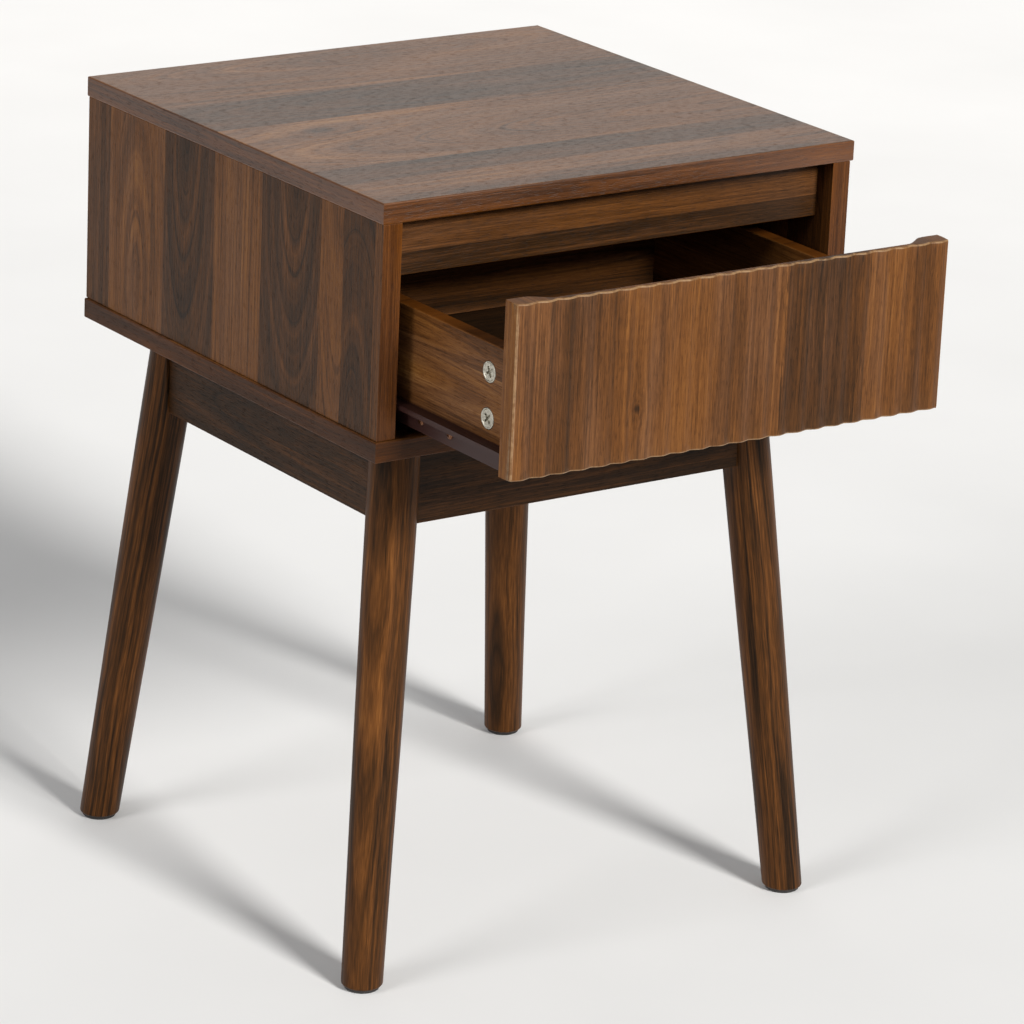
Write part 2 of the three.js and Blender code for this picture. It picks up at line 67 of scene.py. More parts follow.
class Strand:
    """A socket in a finish's nodes; sums on it add Math nodes."""

    def __init__(self, tree, socket=None):
        self.tree = tree
        self.socket = socket

    def node(self, kind, settings=None, inputs=None, out=0):
        """Adds a node: its type, its settings, then the values or links of its sockets."""
        made = self.tree.nodes.new("ShaderNode" + kind)
        for name, value in (settings or {}).items():
            if name == "stops":
                held = made.color_ramp.elements
                held.remove(held[-1])
                for index, (place, colour) in enumerate(value):
                    stop = held[0] if index == 0 else held.new(place)
                    stop.position = place
                    stop.color = colour if len(colour) == 4 else (*colour, 1.0)
            elif name == "steps":
                made.color_ramp.interpolation = value
            else:
                setattr(made, name, value)
        for name, value in (inputs or {}).items():
            if isinstance(value, Strand):
                self.tree.links.new(value.socket, made.inputs[name])
            else:
                made.inputs[name].default_value = value
        return Strand(self.tree, made.outputs[out] if len(made.outputs) else None)

    def math(self, operation, first, second=0.0):
        return self.node("Math", {"operation": operation}, {0: first, 1: second})

    def __add__(self, other): return self.math("ADD", self, other)
    def __radd__(self, other): return self.math("ADD", other, self)
    def __sub__(self, other): return self.math("SUBTRACT", self, other)
    def __rsub__(self, other): return self.math("SUBTRACT", other, self)
    def __mul__(self, other): return self.math("MULTIPLY", self, other)
    def __rmul__(self, other): return self.math("MULTIPLY", other, self)
    def __truediv__(self, other): return self.math("DIVIDE", self, other)
    def __pow__(self, other): return self.math("POWER", self, other)
    def __gt__(self, other): return self.math("GREATER_THAN", self, other)
    def __abs__(self): return self.math("ABSOLUTE", self)

    def rise(self, low, high):
        """0 below low, 1 above high, smooth between."""
        return self.node("MapRange", {"interpolation_type": "SMOOTHSTEP"},
                         {"Value": self, "From Min": low, "From Max": high})

    def cloud(self, x, y, z=0.0, detail=2.0, roughness=0.5):
        """Noise at a point whose coordinates are already scaled."""
        place = self.node("CombineXYZ", None, {"X": x, "Y": y, "Z": z})
        return self.node("TexNoise", None, {"Vector": place, "Scale": 1.0,
                                            "Detail": detail, "Roughness": roughness})

    def ramp(self, stops, steps="LINEAR", out=0):
        """Looks this value up along a row of colours; out 1 gives their fourth number."""
        return self.node("ValToRGB", {"stops": stops, "steps": steps}, {"Fac": self}, out)

    def blend(self, first, second, mode="MIX"):
        """Mixes two colours, this value saying how much of the second."""
        return self.node("Mix", {"data_type": "RGBA", "blend_type": mode},
                         {0: self, 6: first, 7: second}, out=2)


def tint(red, green, blue):
    """A colour as seen on a screen, 0 to 255, made linear for the shader."""
    parts = [part / 255.0 for part in (red, green, blue)]
    return (*[p / 12.92 if p <= 0.04045 else ((p + 0.055) / 1.055) ** 2.4 for p in parts], 1.0)


def new_finish(name):
    """An empty finish: its material, a strand to start from, and where each point lies and faces."""
    finish = bpy.data.materials.new(name)
    finish.use_nodes = True
    finish.node_tree.nodes.clear()
    start = Strand(finish.node_tree)
    place = start.node("TexCoord", out=3)
    facing = start.node("TexCoord", out=1)
    at = [place.node("SeparateXYZ", None, {0: place}, out=axis) for axis in range(3)]
    looks = [abs(place.node("SeparateXYZ", None, {0: facing}, out=axis)) for axis in range(3)]
    return finish, start, at, looks


def close_finish(start, colour, roughness, height=None, relief=0.0003, strength=0.4, **uniform):
    """Wires colour, roughness and bump height to the surface; uniform values sit on its sockets."""
    wires = {"Base Color": colour, "Roughness": roughness}
    if height is not None:
        wires["Normal"] = start.node("Bump", None, {"Strength": strength, "Distance": relief, "Height": height})
    wires.update({name.replace("_", " "): value for name, value in uniform.items()})
    surface = start.node("BsdfPrincipled", None, wires)
    start.node("OutputMaterial", None, {0: surface})


def wear(finish, *pieces):
    """Puts a finish on every slot of these pieces."""
    for piece in pieces:
        if not piece.material_slots:
            piece.data.materials.append(finish)
        for slot in piece.material_slots:
            slot.material = finish


studio_board, start, at, looks = new_finish("studio_board")
mottle = start.cloud(at[0] * 3.0, at[1] * 3.0, 0.0, 4.0)
close_finish(start, mottle.ramp([(0.3, tint(231, 231, 231)), (0.7, tint(235, 235, 235))]),
             0.9 + mottle * 0.1, mottle, 0.0002, 0.1, Specular_IOR_Level=0.1)

floor_mesh = bmesh.new()
bmesh.ops.create_grid(floor_mesh, x_segments=4, y_segments=4, size=9.0)
floor_data = bpy.data.meshes.new("studio_floor")
floor_mesh.to_mesh(floor_data)
floor_mesh.free()
studio_floor = bpy.data.objects.new("studio_floor", floor_data)
bpy.context.scene.collection.objects.link(studio_floor)
wear(studio_board, studio_floor)

# ---- Studio light -----------------------------------------------------------
# A soft key stands low in front with a weaker fill on the left, a white sky
# opens the shade, and a warm panel behind lays a sheen along the top.
bpy.context.scene.view_settings.view_transform = "Standard"
sky = bpy.data.worlds.new("sky")
bpy.context.scene.world = sky
sky.use_nodes = True
sky.node_tree.nodes["Background"].inputs["Color"].default_value = (0.97, 0.985, 1.0, 1.0)
sky.node_tree.nodes["Background"].inputs["Strength"].default_value = 0.25


def hang_light(name, kind, azimuth, elevation, distance, aim, **settings):
    """A light on a circle round aim; azimuth 0 is in front, 90 to the right."""
    lamp = bpy.data.lights.new(name, kind)
    for key, value in settings.items():
        setattr(lamp, key, value)
    across, up = math.radians(azimuth), math.radians(elevation)
    toward = Vector((math.sin(across) * math.cos(up), -math.cos(across) * math.cos(up), math.sin(up)))
    holder = bpy.data.objects.new(name, lamp)
    bpy.context.scene.collection.objects.link(holder)
    holder.matrix_world = (Matrix.Translation(aim + toward * distance)
                           @ (-toward).to_track_quat("-Z", "Y").to_matrix().to_4x4())


CASE_HEART = Vector((0.0, 0.0, 0.4))
hang_light("key", "SUN", 3.0, 28.0, 3.0, CASE_HEART,
           energy=4.1, angle=math.radians(14.0), color=(1.0, 0.985, 0.955))
hang_light("side_fill", "SUN", -84.0, 26.0, 3.0, CASE_HEART,
           energy=1.15, angle=math.radians(26.0), color=(1.0, 0.99, 0.98))
hang_light("rear_panel", "AREA", 143.0, 20.0, 3.6, Vector((0.0, 0.0, 0.5)),
           energy=16.0, shape="RECTANGLE", size=3.6, size_y=1.8, color=(1.0, 0.94, 0.87))

# ---- Case: slabs, sides, back and rail --------------------------------------
# 15 mm particle board wrapped in a walnut print laid up as glued planks, with
# a matching strip on each edge. The slabs overhang the sides; the back sits
# in grooves and the rail is dowelled between the sides above the drawer.
GRAIN = [(0.0, tint(24, 14, 5)), (0.22, tint(48, 29, 12)), (0.42, tint(74, 44, 18)),
         (0.60, tint(99, 60, 26)), (0.80, tint(123, 79, 36)), (1.0, tint(150, 105, 56))]
EDGE_GRAIN = [(0.0, tint(30, 15, 3)), (0.35, tint(62, 32, 6)), (0.6, tint(90, 49, 11)),
              (0.85, tint(113, 65, 18)), (1.0, tint(136, 84, 30))]
EDGE_PLACE = 0.985      # where a plank list keeps the edge strip's entry


def speckle(start, at, scale, detail=3.0):
    """Noise of one scale all through the object."""
    return start.cloud(at[0] * scale, at[1] * scale, at[2] * scale, detail)


def on_arris(start, looks):
    """1 where the surface turns between two square faces, 0 on them."""
    return 1.0 - start.math("MAXIMUM", looks[0], start.math("MAXIMUM", looks[1], looks[2])).rise(0.90, 0.985)


def walnut(name, lay, planks, edge=(0.55, 0.0, 0.0, 0.0), figure=1.0, knots=(), hush=0.0,
           gloss=0.40, lift=0.0, grey=0.0, shine=0.14, pale_arrises=None, feather=0.0):
    """A printed walnut finish.

    lay gives, for a point and its facing, metres along and across the grain, the place 0..1
    among the planks, and how far it is on an edge strip. planks lists (start, tone, heart, arch,
    bow): where each starts, how light it is, where its heart lies across the grain, how strongly
    its growth rings arch, and where along the grain they do. edge is the same for the edge strip.
    knots lists (along, across, size). figure scales the rings, lift lightens the whole, grey and
    hush take colour out in patches and all over, feather frays the joints between planks, and
    pale_arrises gives how far each point is coloured pale along the arrises.
    """
    finish, start, at, looks = new_finish(name)
    along, across, place, on_edge = lay(at, looks)
    if feather:
        place = place + (start.cloud(across * 420.0, along * 16.0, 31.0, 3.0, 0.7) - 0.5) * feather
    stops = [(begin * EDGE_PLACE, (tone, heart, arch, bow)) for begin, tone, heart, arch, bow in planks]
    stops.append((EDGE_PLACE, edge))
    shade = place.ramp(stops, "CONSTANT")
    bow = place.ramp(stops, "CONSTANT", out=1)
    tone, heart, arch = [start.node("SeparateColor", None, {0: shade}, out=channel) for channel in range(3)]

    swell = start.cloud(across * 11.0, along * 3.2, tone * 30.0 + 2.0, 2.0) - 0.5
    bent = across + swell * 0.020 * (0.25 + arch * 2.0)
    dark_knot = 0.0
    for knot_along, knot_across, size in knots:
        ragged = start.cloud(across * 330.0, along * 140.0, 41.0, 3.0) - 0.5
        side, reach = across - knot_across + ragged * size * 1.5, along - knot_along + ragged * size * 2.0
        spread = (side * side + reach * reach * 0.22) / (size * size)
        near = start.math("EXPONENT", spread * -0.16)
        bent = bent - side * near * 0.85
        whorl = start.math("SINE", start.math("SQRT", spread) * 6.0) * near * 0.16
        dark_knot = start.math("EXPONENT", spread * -2.2) + whorl + dark_knot
    wide = bent - heart
    climb = (along - bow) * arch
    radius = start.math("SQRT", wide * wide + climb * climb)

    # Rings follow the radius from the heart; streaks, fibres, pores and gleams follow the grain.
    rings = start.cloud(radius * 170.0, along * 2.2, tone * 50.0, 4.0, 0.62)
    streaks = start.cloud(bent * 560.0, along * 6.0, 7.0, 4.0, 0.68)
    fibres = start.cloud(across * 1300.0 + swell * 14.0, along * 58.0, 3.0, 3.0, 0.7)
    pores = start.cloud(across * 1150.0, along * 125.0, 11.0, 1.0).rise(0.56, 0.66)
    drift = start.cloud(across * 26.0, along * 7.0, tone * 20.0 + 5.0, 2.0)
    gleams = start.cloud(bent * 800.0, along * 5.0, 17.0, 3.0, 0.6).rise(0.56, 0.70)
    veins = start.cloud(radius * 520.0, along * 4.0, tone * 70.0 + 1.0, 3.0, 0.6).rise(0.55, 0.70)

    depth = (tone + lift + (rings - 0.5) * (0.85 * figure) + (streaks - 0.5) * 0.60 + (fibres - 0.5) * 0.50
             + (drift - 0.5) * 0.36 + gleams * 0.12 - pores * 0.08 - veins * 0.17 * figure)
    if knots:
        depth = depth - dark_knot * 0.30
    if pale_arrises is None:
        depth = depth + on_arris(start, looks) * 0.12
    plain = on_edge.blend(depth.ramp(GRAIN), depth.ramp(EDGE_GRAIN))
    dusty = start.cloud(across * 40.0, along * 5.0, 21.0, 2.0).rise(0.42, 0.68) * (0.30 + grey)
    cool = start.node("HueSaturation", None, {"Saturation": 0.78, "Value": 0.97, "Color": plain})
    colour = dusty.blend(plain, cool)
    if hush:
        colour = start.node("HueSaturation", None, {"Saturation": 1.0 - hush, "Value": 1.0, "Color": colour})
    # Where a mask of pale arrises is given, they are blended in patches towards a pale tan.
    if pale_arrises is not None:
        patchy = speckle(start, at, 240.0).rise(0.30, 0.62)
        colour = (pale_arrises(at, looks) * (0.30 + patchy * 0.60)).blend(colour, tint(142, 112, 80))
    close_finish(start, colour, gloss + (fibres - 0.5) * 0.22 + pores * 0.12,
                 fibres * 0.6 + streaks * 0.4 - pores * 0.8, 0.00025, 0.45, Specular_IOR_Level=shine)
    return finish


case_low, case_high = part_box("top_panel")
slab_left, slab_back = case_low.x, case_high.y
slab_depth = case_high.y - case_low.y
slab_mid = (case_high.z + case_low.z) / 2


def slab_lay(middle):
    """Grain runs left to right on a slab, and along each edge on its strips."""
    def lay(at, looks):
        on_side = looks[0] > 0.5
        on_face = looks[2] > 0.5
        along = (at[0] - slab_left) * (1.0 - on_side) + (slab_back - at[1]) * on_side
        from_back = slab_back - at[1]
        across = from_back * on_face + (at[2] - middle) * (1.0 - on_face)
        place = from_back * (0.98 * EDGE_PLACE / slab_depth) * on_face + (1.0 - on_face)
        return along, across, place, 1.0 - on_face
    return lay


TOP_PLANKS = [(0.0, 0.60, 0.03, 0.16, 0.26), (0.27, 0.40, 0.14, 0.12, 0.30), (0.445, 0.63, 0.26, 0.16, 0.40),
              (0.755, 0.36, 0.31, 0.03, 0.2), (0.80, 0.46, 0.33, 0.03, 0.2), (0.85, 0.62, 0.35, 0.05, 0.1),
              (0.94, 0.47, 0.39, 0.1, 0.3)]
top_print = walnut("top_laminate", slab_lay(slab_mid), TOP_PLANKS, (0.56, -0.006, 0.02, 0.0),
                   figure=1.15, knots=[(0.068, 0.208, 0.011)], gloss=0.36, grey=0.1, shine=0.5, feather=0.012)
wear(top_print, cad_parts["top_panel"])
base_low, base_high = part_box("bottom_panel")
BOTTOM_PLANKS = [(0.0, 0.45, 0.05, 0.1, 0.2), (0.3, 0.6, 0.2, 0.1, 0.1), (0.6, 0.4, 0.3, 0.1, 0.3)]
bottom_print = walnut("bottom_laminate", slab_lay((base_low.z + base_high.z) / 2), BOTTOM_PLANKS,
                      (0.33, 0.006, 0.03, 0.1), figure=0.8, gloss=0.42)
wear(bottom_print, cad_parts["bottom_panel"])

side_low, side_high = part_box("side_panel_left")
side_depth = side_high.y - side_low.y
side_inner = -side_high.x


def side_lay(at, looks):
    """Grain runs upright on the sides, with a strip down each front and rear edge."""
    on_face = looks[0] > 0.5
    from_back = side_high.y - at[1]
    across = from_back * on_face + (abs(at[0]) - side_inner) * (1.0 - on_face)
    place = from_back * (0.98 * EDGE_PLACE / side_depth) * on_face + (1.0 - on_face)
    return at[2] - side_low.z, across, place, 1.0 - on_face


SIDE_PLANKS = [(0.0, 0.42, 0.0, 0.0, 0.1), (0.077, 0.62, 0.07, 0.22, 0.03), (0.268, 0.36, 0.14, 0.20, 0.16),
               (0.438, 0.60, 0.17, 0.03, 0.1), (0.598, 0.36, 0.285, 0.24, 0.17), (0.786, 0.58, 0.34, 0.10, 0.3),
               (0.859, 0.34, 0.36, 0.26, 0.0), (0.953, 0.55, 0.40, 0.0, 0.1)]
side_print = walnut("case_laminate", side_lay, SIDE_PLANKS, (0.55, 0.0, 0.02, 0.1), gloss=0.42)
wear(side_print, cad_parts["side_panel_left"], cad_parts["side_panel_right"])


def level_lay(axis, origin, span):
    """Grain runs level along one axis; the planks lie one above the other."""
    def lay(at, looks):
        across = at[2] - origin
        on_edge = looks[2] > 0.5
        place = across * (EDGE_PLACE * 0.98 / span) * (1.0 - on_edge) + on_edge
        return at[axis] + 0.25, across, place, on_edge
    return lay


rail_low, rail_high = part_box("front_rail")
RAIL_PLANKS = [(0.0, 0.28, 0.004, 0.03, 0.2), (0.36, 0.47, 0.034, 0.02, 0.1)]
rail_print = walnut("rail_laminate", level_lay(0, rail_low.z, rail_high.z - rail_low.z), RAIL_PLANKS,
                    figure=0.6)
wear(rail_print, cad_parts["front_rail"])

back_low, back_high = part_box("back_panel")


def back_lay(at, looks):
    """Thin sheet with the print running level, in three broad planks."""
    up = at[2] - back_low.z
    return at[0] + 0.2, up, up * (EDGE_PLACE / (back_high.z - back_low.z)), looks[2] * 0.0


BACK_PLANKS = [(0.0, 0.36, 0.02, 0.1, 0.2), (0.35, 0.50, 0.08, 0.1, 0.3), (0.72, 0.38, 0.14, 0.1, 0.1)]
back_print = walnut("back_laminate", back_lay, BACK_PLANKS, figure=0.8, gloss=0.5, hush=0.1)
wear(back_print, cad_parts["back_panel"])

# ---- Legs -------------------------------------------------------------------
# Turned hardwood stained to match the case, tapered to the foot and leaned
# outward both ways. The two inner faces are planed flat where the aprons butt
# on, and a bolt through a corner bracket draws each leg home.
SPLAY = 0.098
LEG_INSET = 0.051
FLAT_AT = 0.061
FOOT_RADIUS = 0.01494
HEAD_RADIUS = 0.0184
FOOT_Z = 0.003
HEAD_Z = base_low.z
FOOT_ROUND = 0.0022
LEG_SIDES = 72
BELLY = ((0.10, 1.006), (0.20, 1.02), (0.30, 1.012))    # height, and how much fuller than straight
case_mid = (case_low.y + case_high.y) / 2


def show(name, mesh, finish):
    """Turns a bmesh into a piece that wears a finish, smooth except at sharp edges."""
    bmesh.ops.recalc_face_normals(mesh, faces=mesh.faces)
    for face in mesh.faces:
        face.smooth = True
    for edge in mesh.edges:
        if len(edge.link_faces) == 2 and edge.calc_face_angle() > math.radians(38.0):
            edge.smooth = False
    data = bpy.data.meshes.new(name)
    mesh.to_mesh(data)
    mesh.free()
    piece = bpy.data.objects.new(name, data)
    bpy.context.scene.collection.objects.link(piece)
    wear(finish, piece)
    return piece


stained, start, at, looks = new_finish("base_wood_legs")
lean = (HEAD_Z - at[2]) * SPLAY
slab_half_x, slab_half_y = case_high.x, (case_high.y - case_low.y) / 2
leg_x = abs(at[0]) - (slab_half_x - LEG_INSET) - lean
leg_y = abs(at[1] - case_mid) - (slab_half_y - LEG_INSET) - lean
which = (at[0] > 0.0) * 3.7 + (at[1] > case_mid) * 5.3
grain_across = leg_x * 0.85 + leg_y * 0.53
wave = start.cloud(grain_across * 14.0, at[2] * 5.0, which, 2.0) - 0.5
drawn = grain_across + wave * 0.012
rings = start.cloud(drawn * 210.0, at[2] * 3.4, which + 1.0, 3.0, 0.6)
streaks = start.cloud(drawn * 520.0, at[2] * 9.0, which + 4.0, 3.0, 0.62)
black = start.cloud(drawn * 260.0, at[2] * 4.0, which + 9.0, 3.0, 0.55).rise(0.53, 0.66)
fibres = start.cloud(leg_x * 1300.0, leg_y * 1300.0, at[2] * 70.0, 2.0)
depth = 0.40 + (rings - 0.5) * 0.75 + (streaks - 0.5) * 0.85 + (fibres - 0.5) * 0.5 - black * 0.24
close_finish(start, depth.ramp(GRAIN), 0.40 + (fibres - 0.5) * 0.2, fibres * 0.5 + streaks * 0.5, 0.00025, 0.4,
             Specular_IOR_Level=0.10)
for place, sign_x, sign_y in (("front_left", -1, -1), ("front_right", 1, -1),
                              ("rear_left", -1, 1), ("rear_right", 1, 1)):
    leg = bmesh.new()
    bmesh.ops.create_cone(leg, cap_ends=True, segments=LEG_SIDES, radius1=FOOT_RADIUS, radius2=HEAD_RADIUS,
                          depth=HEAD_Z - FOOT_Z)
    bmesh.ops.translate(leg, vec=(0, 0, (HEAD_Z + FOOT_Z) / 2), verts=leg.verts)
    for height, swell in BELLY:
        cut = bmesh.ops.bisect_plane(leg, geom=leg.verts[:] + leg.edges[:] + leg.faces[:],
                                     plane_co=(0, 0, height), plane_no=(0, 0, 1))
        ring = [part for part in cut["geom_cut"] if isinstance(part, bmesh.types.BMVert)]
        bmesh.ops.scale(leg, vec=(swell, swell, 1.0), verts=ring)
    rim = [edge for edge in leg.edges if all(abs(v.co.z - FOOT_Z) < 1e-6 for v in edge.verts)]
    bmesh.ops.bevel(leg, geom=rim, offset=FOOT_ROUND, offset_type="OFFSET", affect="EDGES", segments=4,
                    profile=0.5, material=-1, clamp_overlap=True)
    slant = Matrix.Identity(4)
    slant[0][2], slant[0][3] = -sign_x * SPLAY, sign_x * (slab_half_x - LEG_INSET + SPLAY * HEAD_Z)
    slant[1][2], slant[1][3] = -sign_y * SPLAY, case_mid + sign_y * (slab_half_y - LEG_INSET + SPLAY * HEAD_Z)
    bmesh.ops.transform(leg, matrix=slant, verts=leg.verts)
    for point, outward in (((sign_x * (slab_half_x - FLAT_AT), 0, 0), (-sign_x, 0, 0)),
                           ((0, case_mid + sign_y * (slab_half_y - FLAT_AT), 0), (0, -sign_y, 0))):
        cut = bmesh.ops.bisect_plane(leg, geom=leg.verts[:] + leg.edges[:] + leg.faces[:],
                                     plane_co=point, plane_no=outward, clear_outer=True)
        bmesh.ops.holes_fill(leg, edges=[e for e in leg.edges if e.is_boundary])
    bmesh.ops.remove_doubles(leg, verts=leg.verts, dist=1e-5)
    turned_leg = show("turned_leg_" + place, leg, stained)
    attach(turned_leg, "cabinet")
    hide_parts("leg_" + place)

# ---- Aprons -----------------------------------------------------------------
# Four 15 mm boards set in under the slab, wrapped in a darker run of the same
# print with its grain running level, butted between the legs.
apron_low, apron_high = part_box("apron_front")
APRON_PLANKS = [(0.0, 0.30, 0.02, 0.06, 0.2), (0.32, 0.25, 0.03, 0.08, 0.1), (0.62, 0.22, 0.05, 0.05, 0.3)]
for label, axis, sides in (("x", 0, ("front", "rear")), ("y", 1, ("left", "right"))):
    apron_print = walnut("base_wood_aprons_" + label,
                         level_lay(axis, apron_low.z, apron_high.z - apron_low.z), APRON_PLANKS,
                         (0.25, 0.0, 0.0, 0.1), figure=0.7, gloss=0.42, shine=0.1, lift=-0.04)
    wear(apron_print, *[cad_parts["apron_" + side] for side in sides])

# ---- Glides, corner brackets and bolts --------------------------------------
# A black nylon button is pressed into each foot. Inside each corner a folded
# zinc-plated plate and a hanger bolt hold the leg to both aprons.
nylon, start, at, looks = new_finish("glide_plastic")
grit = speckle(start, at, 900.0)
scuff = speckle(start, at, 160.0).rise(0.5, 0.7)
close_finish(start, (scuff * 0.5).blend(tint(30, 27, 25), tint(62, 57, 52)), 0.55 + scuff * 0.2,
             grit, 0.0002, 0.3)

zinc, start, at, looks = new_finish("zinc_steel")
spangle = start.node("TexVoronoi", None, {"Vector": start.node("CombineXYZ", None, {
    "X": at[0], "Y": at[1], "Z": at[2]}), "Scale": 260.0}, out=0)
haze = speckle(start, at, 220.0, 4.0)
hair = start.cloud(at[0] * 2600.0, at[1] * 300.0, at[2] * 300.0, 2.0)
grey = haze * 0.7 + spangle * 0.3
close_finish(start, grey.ramp([(0.25, tint(150, 147, 138)), (0.6, tint(196, 194, 184)),
                               (0.85, tint(222, 220, 212))]),
             0.26 + haze * 0.28, haze * 0.5 + hair * 0.5, 0.00012, 0.35, Metallic=0.92)
for place in ("front_left", "front_right", "rear_left", "rear_right"):
    wear(nylon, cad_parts["foot_glide_" + place])
    wear(zinc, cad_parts["corner_bracket_" + place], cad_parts["corner_bolt_" + place])

# ---- Drawer front -----------------------------------------------------------
# One milled board with 22 soft upright flutes, wrapped in a lighter upright
# walnut print. A finger groove is routed behind its top edge, leaving a thin
# lip that blends back to full thickness at both ends. The arrises are coloured pale.
front_low, front_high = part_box("drawer_front")
FLUTES = 22
FLUTE_SINK = 0.0022
LIP = 0.0053
GROOVE_DROP = 0.022
GROOVE_END = 0.014
BLEND = 0.020
LIP_CLEAR = 0.0004      # least board left behind the lip where it blends out
FLUTE_STEPS = 14
CORNER_ROUND = 0.0024
ARRIS_ROUND = 0.0013
front_half = front_high.x
pitch = 2 * front_half / FLUTES


def flute_sink(x):
    """How far the face sinks at x: soft valleys between narrow crests."""
    wave = abs(math.sin(math.pi * (x + front_half) / pitch))
    return FLUTE_SINK * (1 - (0.45 * wave + 0.55 * wave * wave))


def lip_back(x):
    """Where the back of the lip lies at x: thin in the middle, swept out to the full board."""
    reach = (front_half - GROOVE_END - abs(x)) / BLEND
    share = min(1.0, max(0.0, reach))
    share = share * share * (3 - 2 * share)
    return front_high.y + (front_low.y + LIP - front_high.y) * share


milled = bmesh.new()
bmesh.ops.create_grid(milled, x_segments=FLUTES * FLUTE_STEPS, y_segments=2, size=1.0)
for point in milled.verts:
    row = round(point.co.y)
    x = point.co.x * front_half
    y = {-1: front_low.y + flute_sink(x), 0: lip_back(x), 1: front_high.y}[row]
    if row == 0:
        y = min(y, front_high.y - LIP_CLEAR)
    point.co = (x, y, front_low.z)


def raise_faces(mesh, faces, height):
    """Extrudes faces straight up and returns the new top faces."""
    grown = bmesh.ops.extrude_face_region(mesh, geom=faces)["geom"]
    bmesh.ops.translate(mesh, vec=(0, 0, height), verts=[g for g in grown if isinstance(g, bmesh.types.BMVert)])
    return [g for g in grown if isinstance(g, bmesh.types.BMFace)]


def carries_lip(face):
    """Whether the board stands full height over this part of its plan."""
    middle = face.calc_center_median()
    return (abs(middle.x) > front_half - GROOVE_END
            or middle.y < min(lip_back(middle.x), front_high.y - LIP_CLEAR) + 0.0001)


plan = milled.faces[:]
shelf = raise_faces(milled, plan, front_high.z - front_low.z - GROOVE_DROP)
lip_faces = [face for face in shelf if carries_lip(face)]
raise_faces(milled, lip_faces, GROOVE_DROP)
bmesh.ops.delete(milled, geom=[face for face in lip_faces if face.is_valid], context="FACES_ONLY")
bmesh.ops.delete(milled, geom=[edge for edge in milled.edges if edge.is_wire], context="EDGES")
bmesh.ops.remove_doubles(milled, verts=milled.verts, dist=2e-5)
bmesh.ops.recalc_face_normals(milled, faces=milled.faces)
corners = [edge for edge in milled.edges
           if abs(edge.verts[0].co.x - edge.verts[1].co.x) < 1e-6
           and abs(abs(edge.verts[0].co.x) - front_half) < 1e-5 and len(edge.link_faces) == 2
           and edge.calc_face_angle() > math.radians(40)
           and max(v.co.y for v in edge.verts) < front_low.y + 0.006]
bmesh.ops.bevel(milled, geom=corners, offset=CORNER_ROUND, offset_type="OFFSET", affect="EDGES", segments=4,
                profile=0.5, material=-1, clamp_overlap=True)

arrises = [edge for edge in milled.edges
           if len(edge.link_faces) == 2 and edge.calc_face_angle() > math.radians(60)
           and all(min(abs(v.co.z - front_low.z), abs(v.co.z - front_high.z)) < 1e-6
                   and v.co.y <= front_low.y + 0.0036 for v in edge.verts)]
bmesh.ops.bevel(milled, geom=arrises, offset=ARRIS_ROUND, offset_type="OFFSET", affect="EDGES", segments=3,
                profile=0.5, material=-1, clamp_overlap=False)

FRONT_PLANKS = [(0.0, 0.58, 0.0, 0.0, 0.1), (0.020, 0.52, 0.0, 0.0, 0.1), (0.068, 0.46, 0.02, 0.0, 0.1),
                (0.082, 0.41, 0.034, 0.03, 0.1), (0.125, 0.46, 0.05, 0.02, 0.1), (0.160, 0.56, 0.06, 0.0, 0.1),
                (0.205, 0.50, 0.07, 0.0, 0.1), (0.235, 0.60, 0.101, 0.03, 0.036), (0.335, 0.64, 0.13, 0.0, 0.1),
                (0.400, 0.57, 0.14, 0.02, 0.05), (0.428, 0.64, 0.16, 0.0, 0.1), (0.445, 0.54, 0.17, 0.03, 0.1),
                (0.510, 0.50, 0.19, 0.02, 0.08), (0.578, 0.60, 0.20, 0.0, 0.1),
                (0.598, 0.39, 0.225, 0.02, 0.06), (0.66, 0.34, 0.262, 0.12, 0.06), (0.77, 0.42, 0.29, 0.0, 0.1),
                (0.79, 0.60, 0.30, 0.0, 0.1), (0.88, 0.50, 0.33, 0.05, 0.1), (0.95, 0.58, 0.35, 0.0, 0.1)]


def front_lay(at, looks):
    """Grain runs upright over the flutes; the wrap turns onto the two ends."""
    across = at[0] + front_half
    on_end = looks[0].rise(0.90, 0.97) * abs(at[0]).rise(front_half - 0.001, front_half - 0.0005)
    place = across * (EDGE_PLACE * 0.98 / (2 * front_half)) * (1.0 - on_end) + on_end
    along = at[2] - front_low.z + at[1] * 0.8 * on_end
    return along, across * (1.0 - on_end) + (at[1] + 0.5) * on_end, place, on_end * 0.4


def front_pale_arrises(at, looks):
    """How pale the wrap is coloured: along the top and bottom arrises and the upright corners."""
    level = looks[2].rise(0.10, 0.36) * (1.0 - looks[2].rise(0.955, 0.998))
    by_corner = abs(at[0]).rise(front_half - 0.0032, front_half - 0.0022)
    upright = looks[0].rise(0.30, 0.62) * (1.0 - looks[0].rise(0.88, 0.97)) * by_corner
    return level.math("MAXIMUM", level, upright)


front_print = walnut("drawer_front_laminate", front_lay, FRONT_PLANKS, (0.76, 0.24, 0.0, 0.0), figure=0.62,
                     knots=[(0.036, 0.101, 0.0026)], gloss=0.44, pale_arrises=front_pale_arrises, feather=0.055)
fluted_front = show("fluted_front", milled, front_print)
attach(fluted_front, "drawer")
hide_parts("drawer_front")
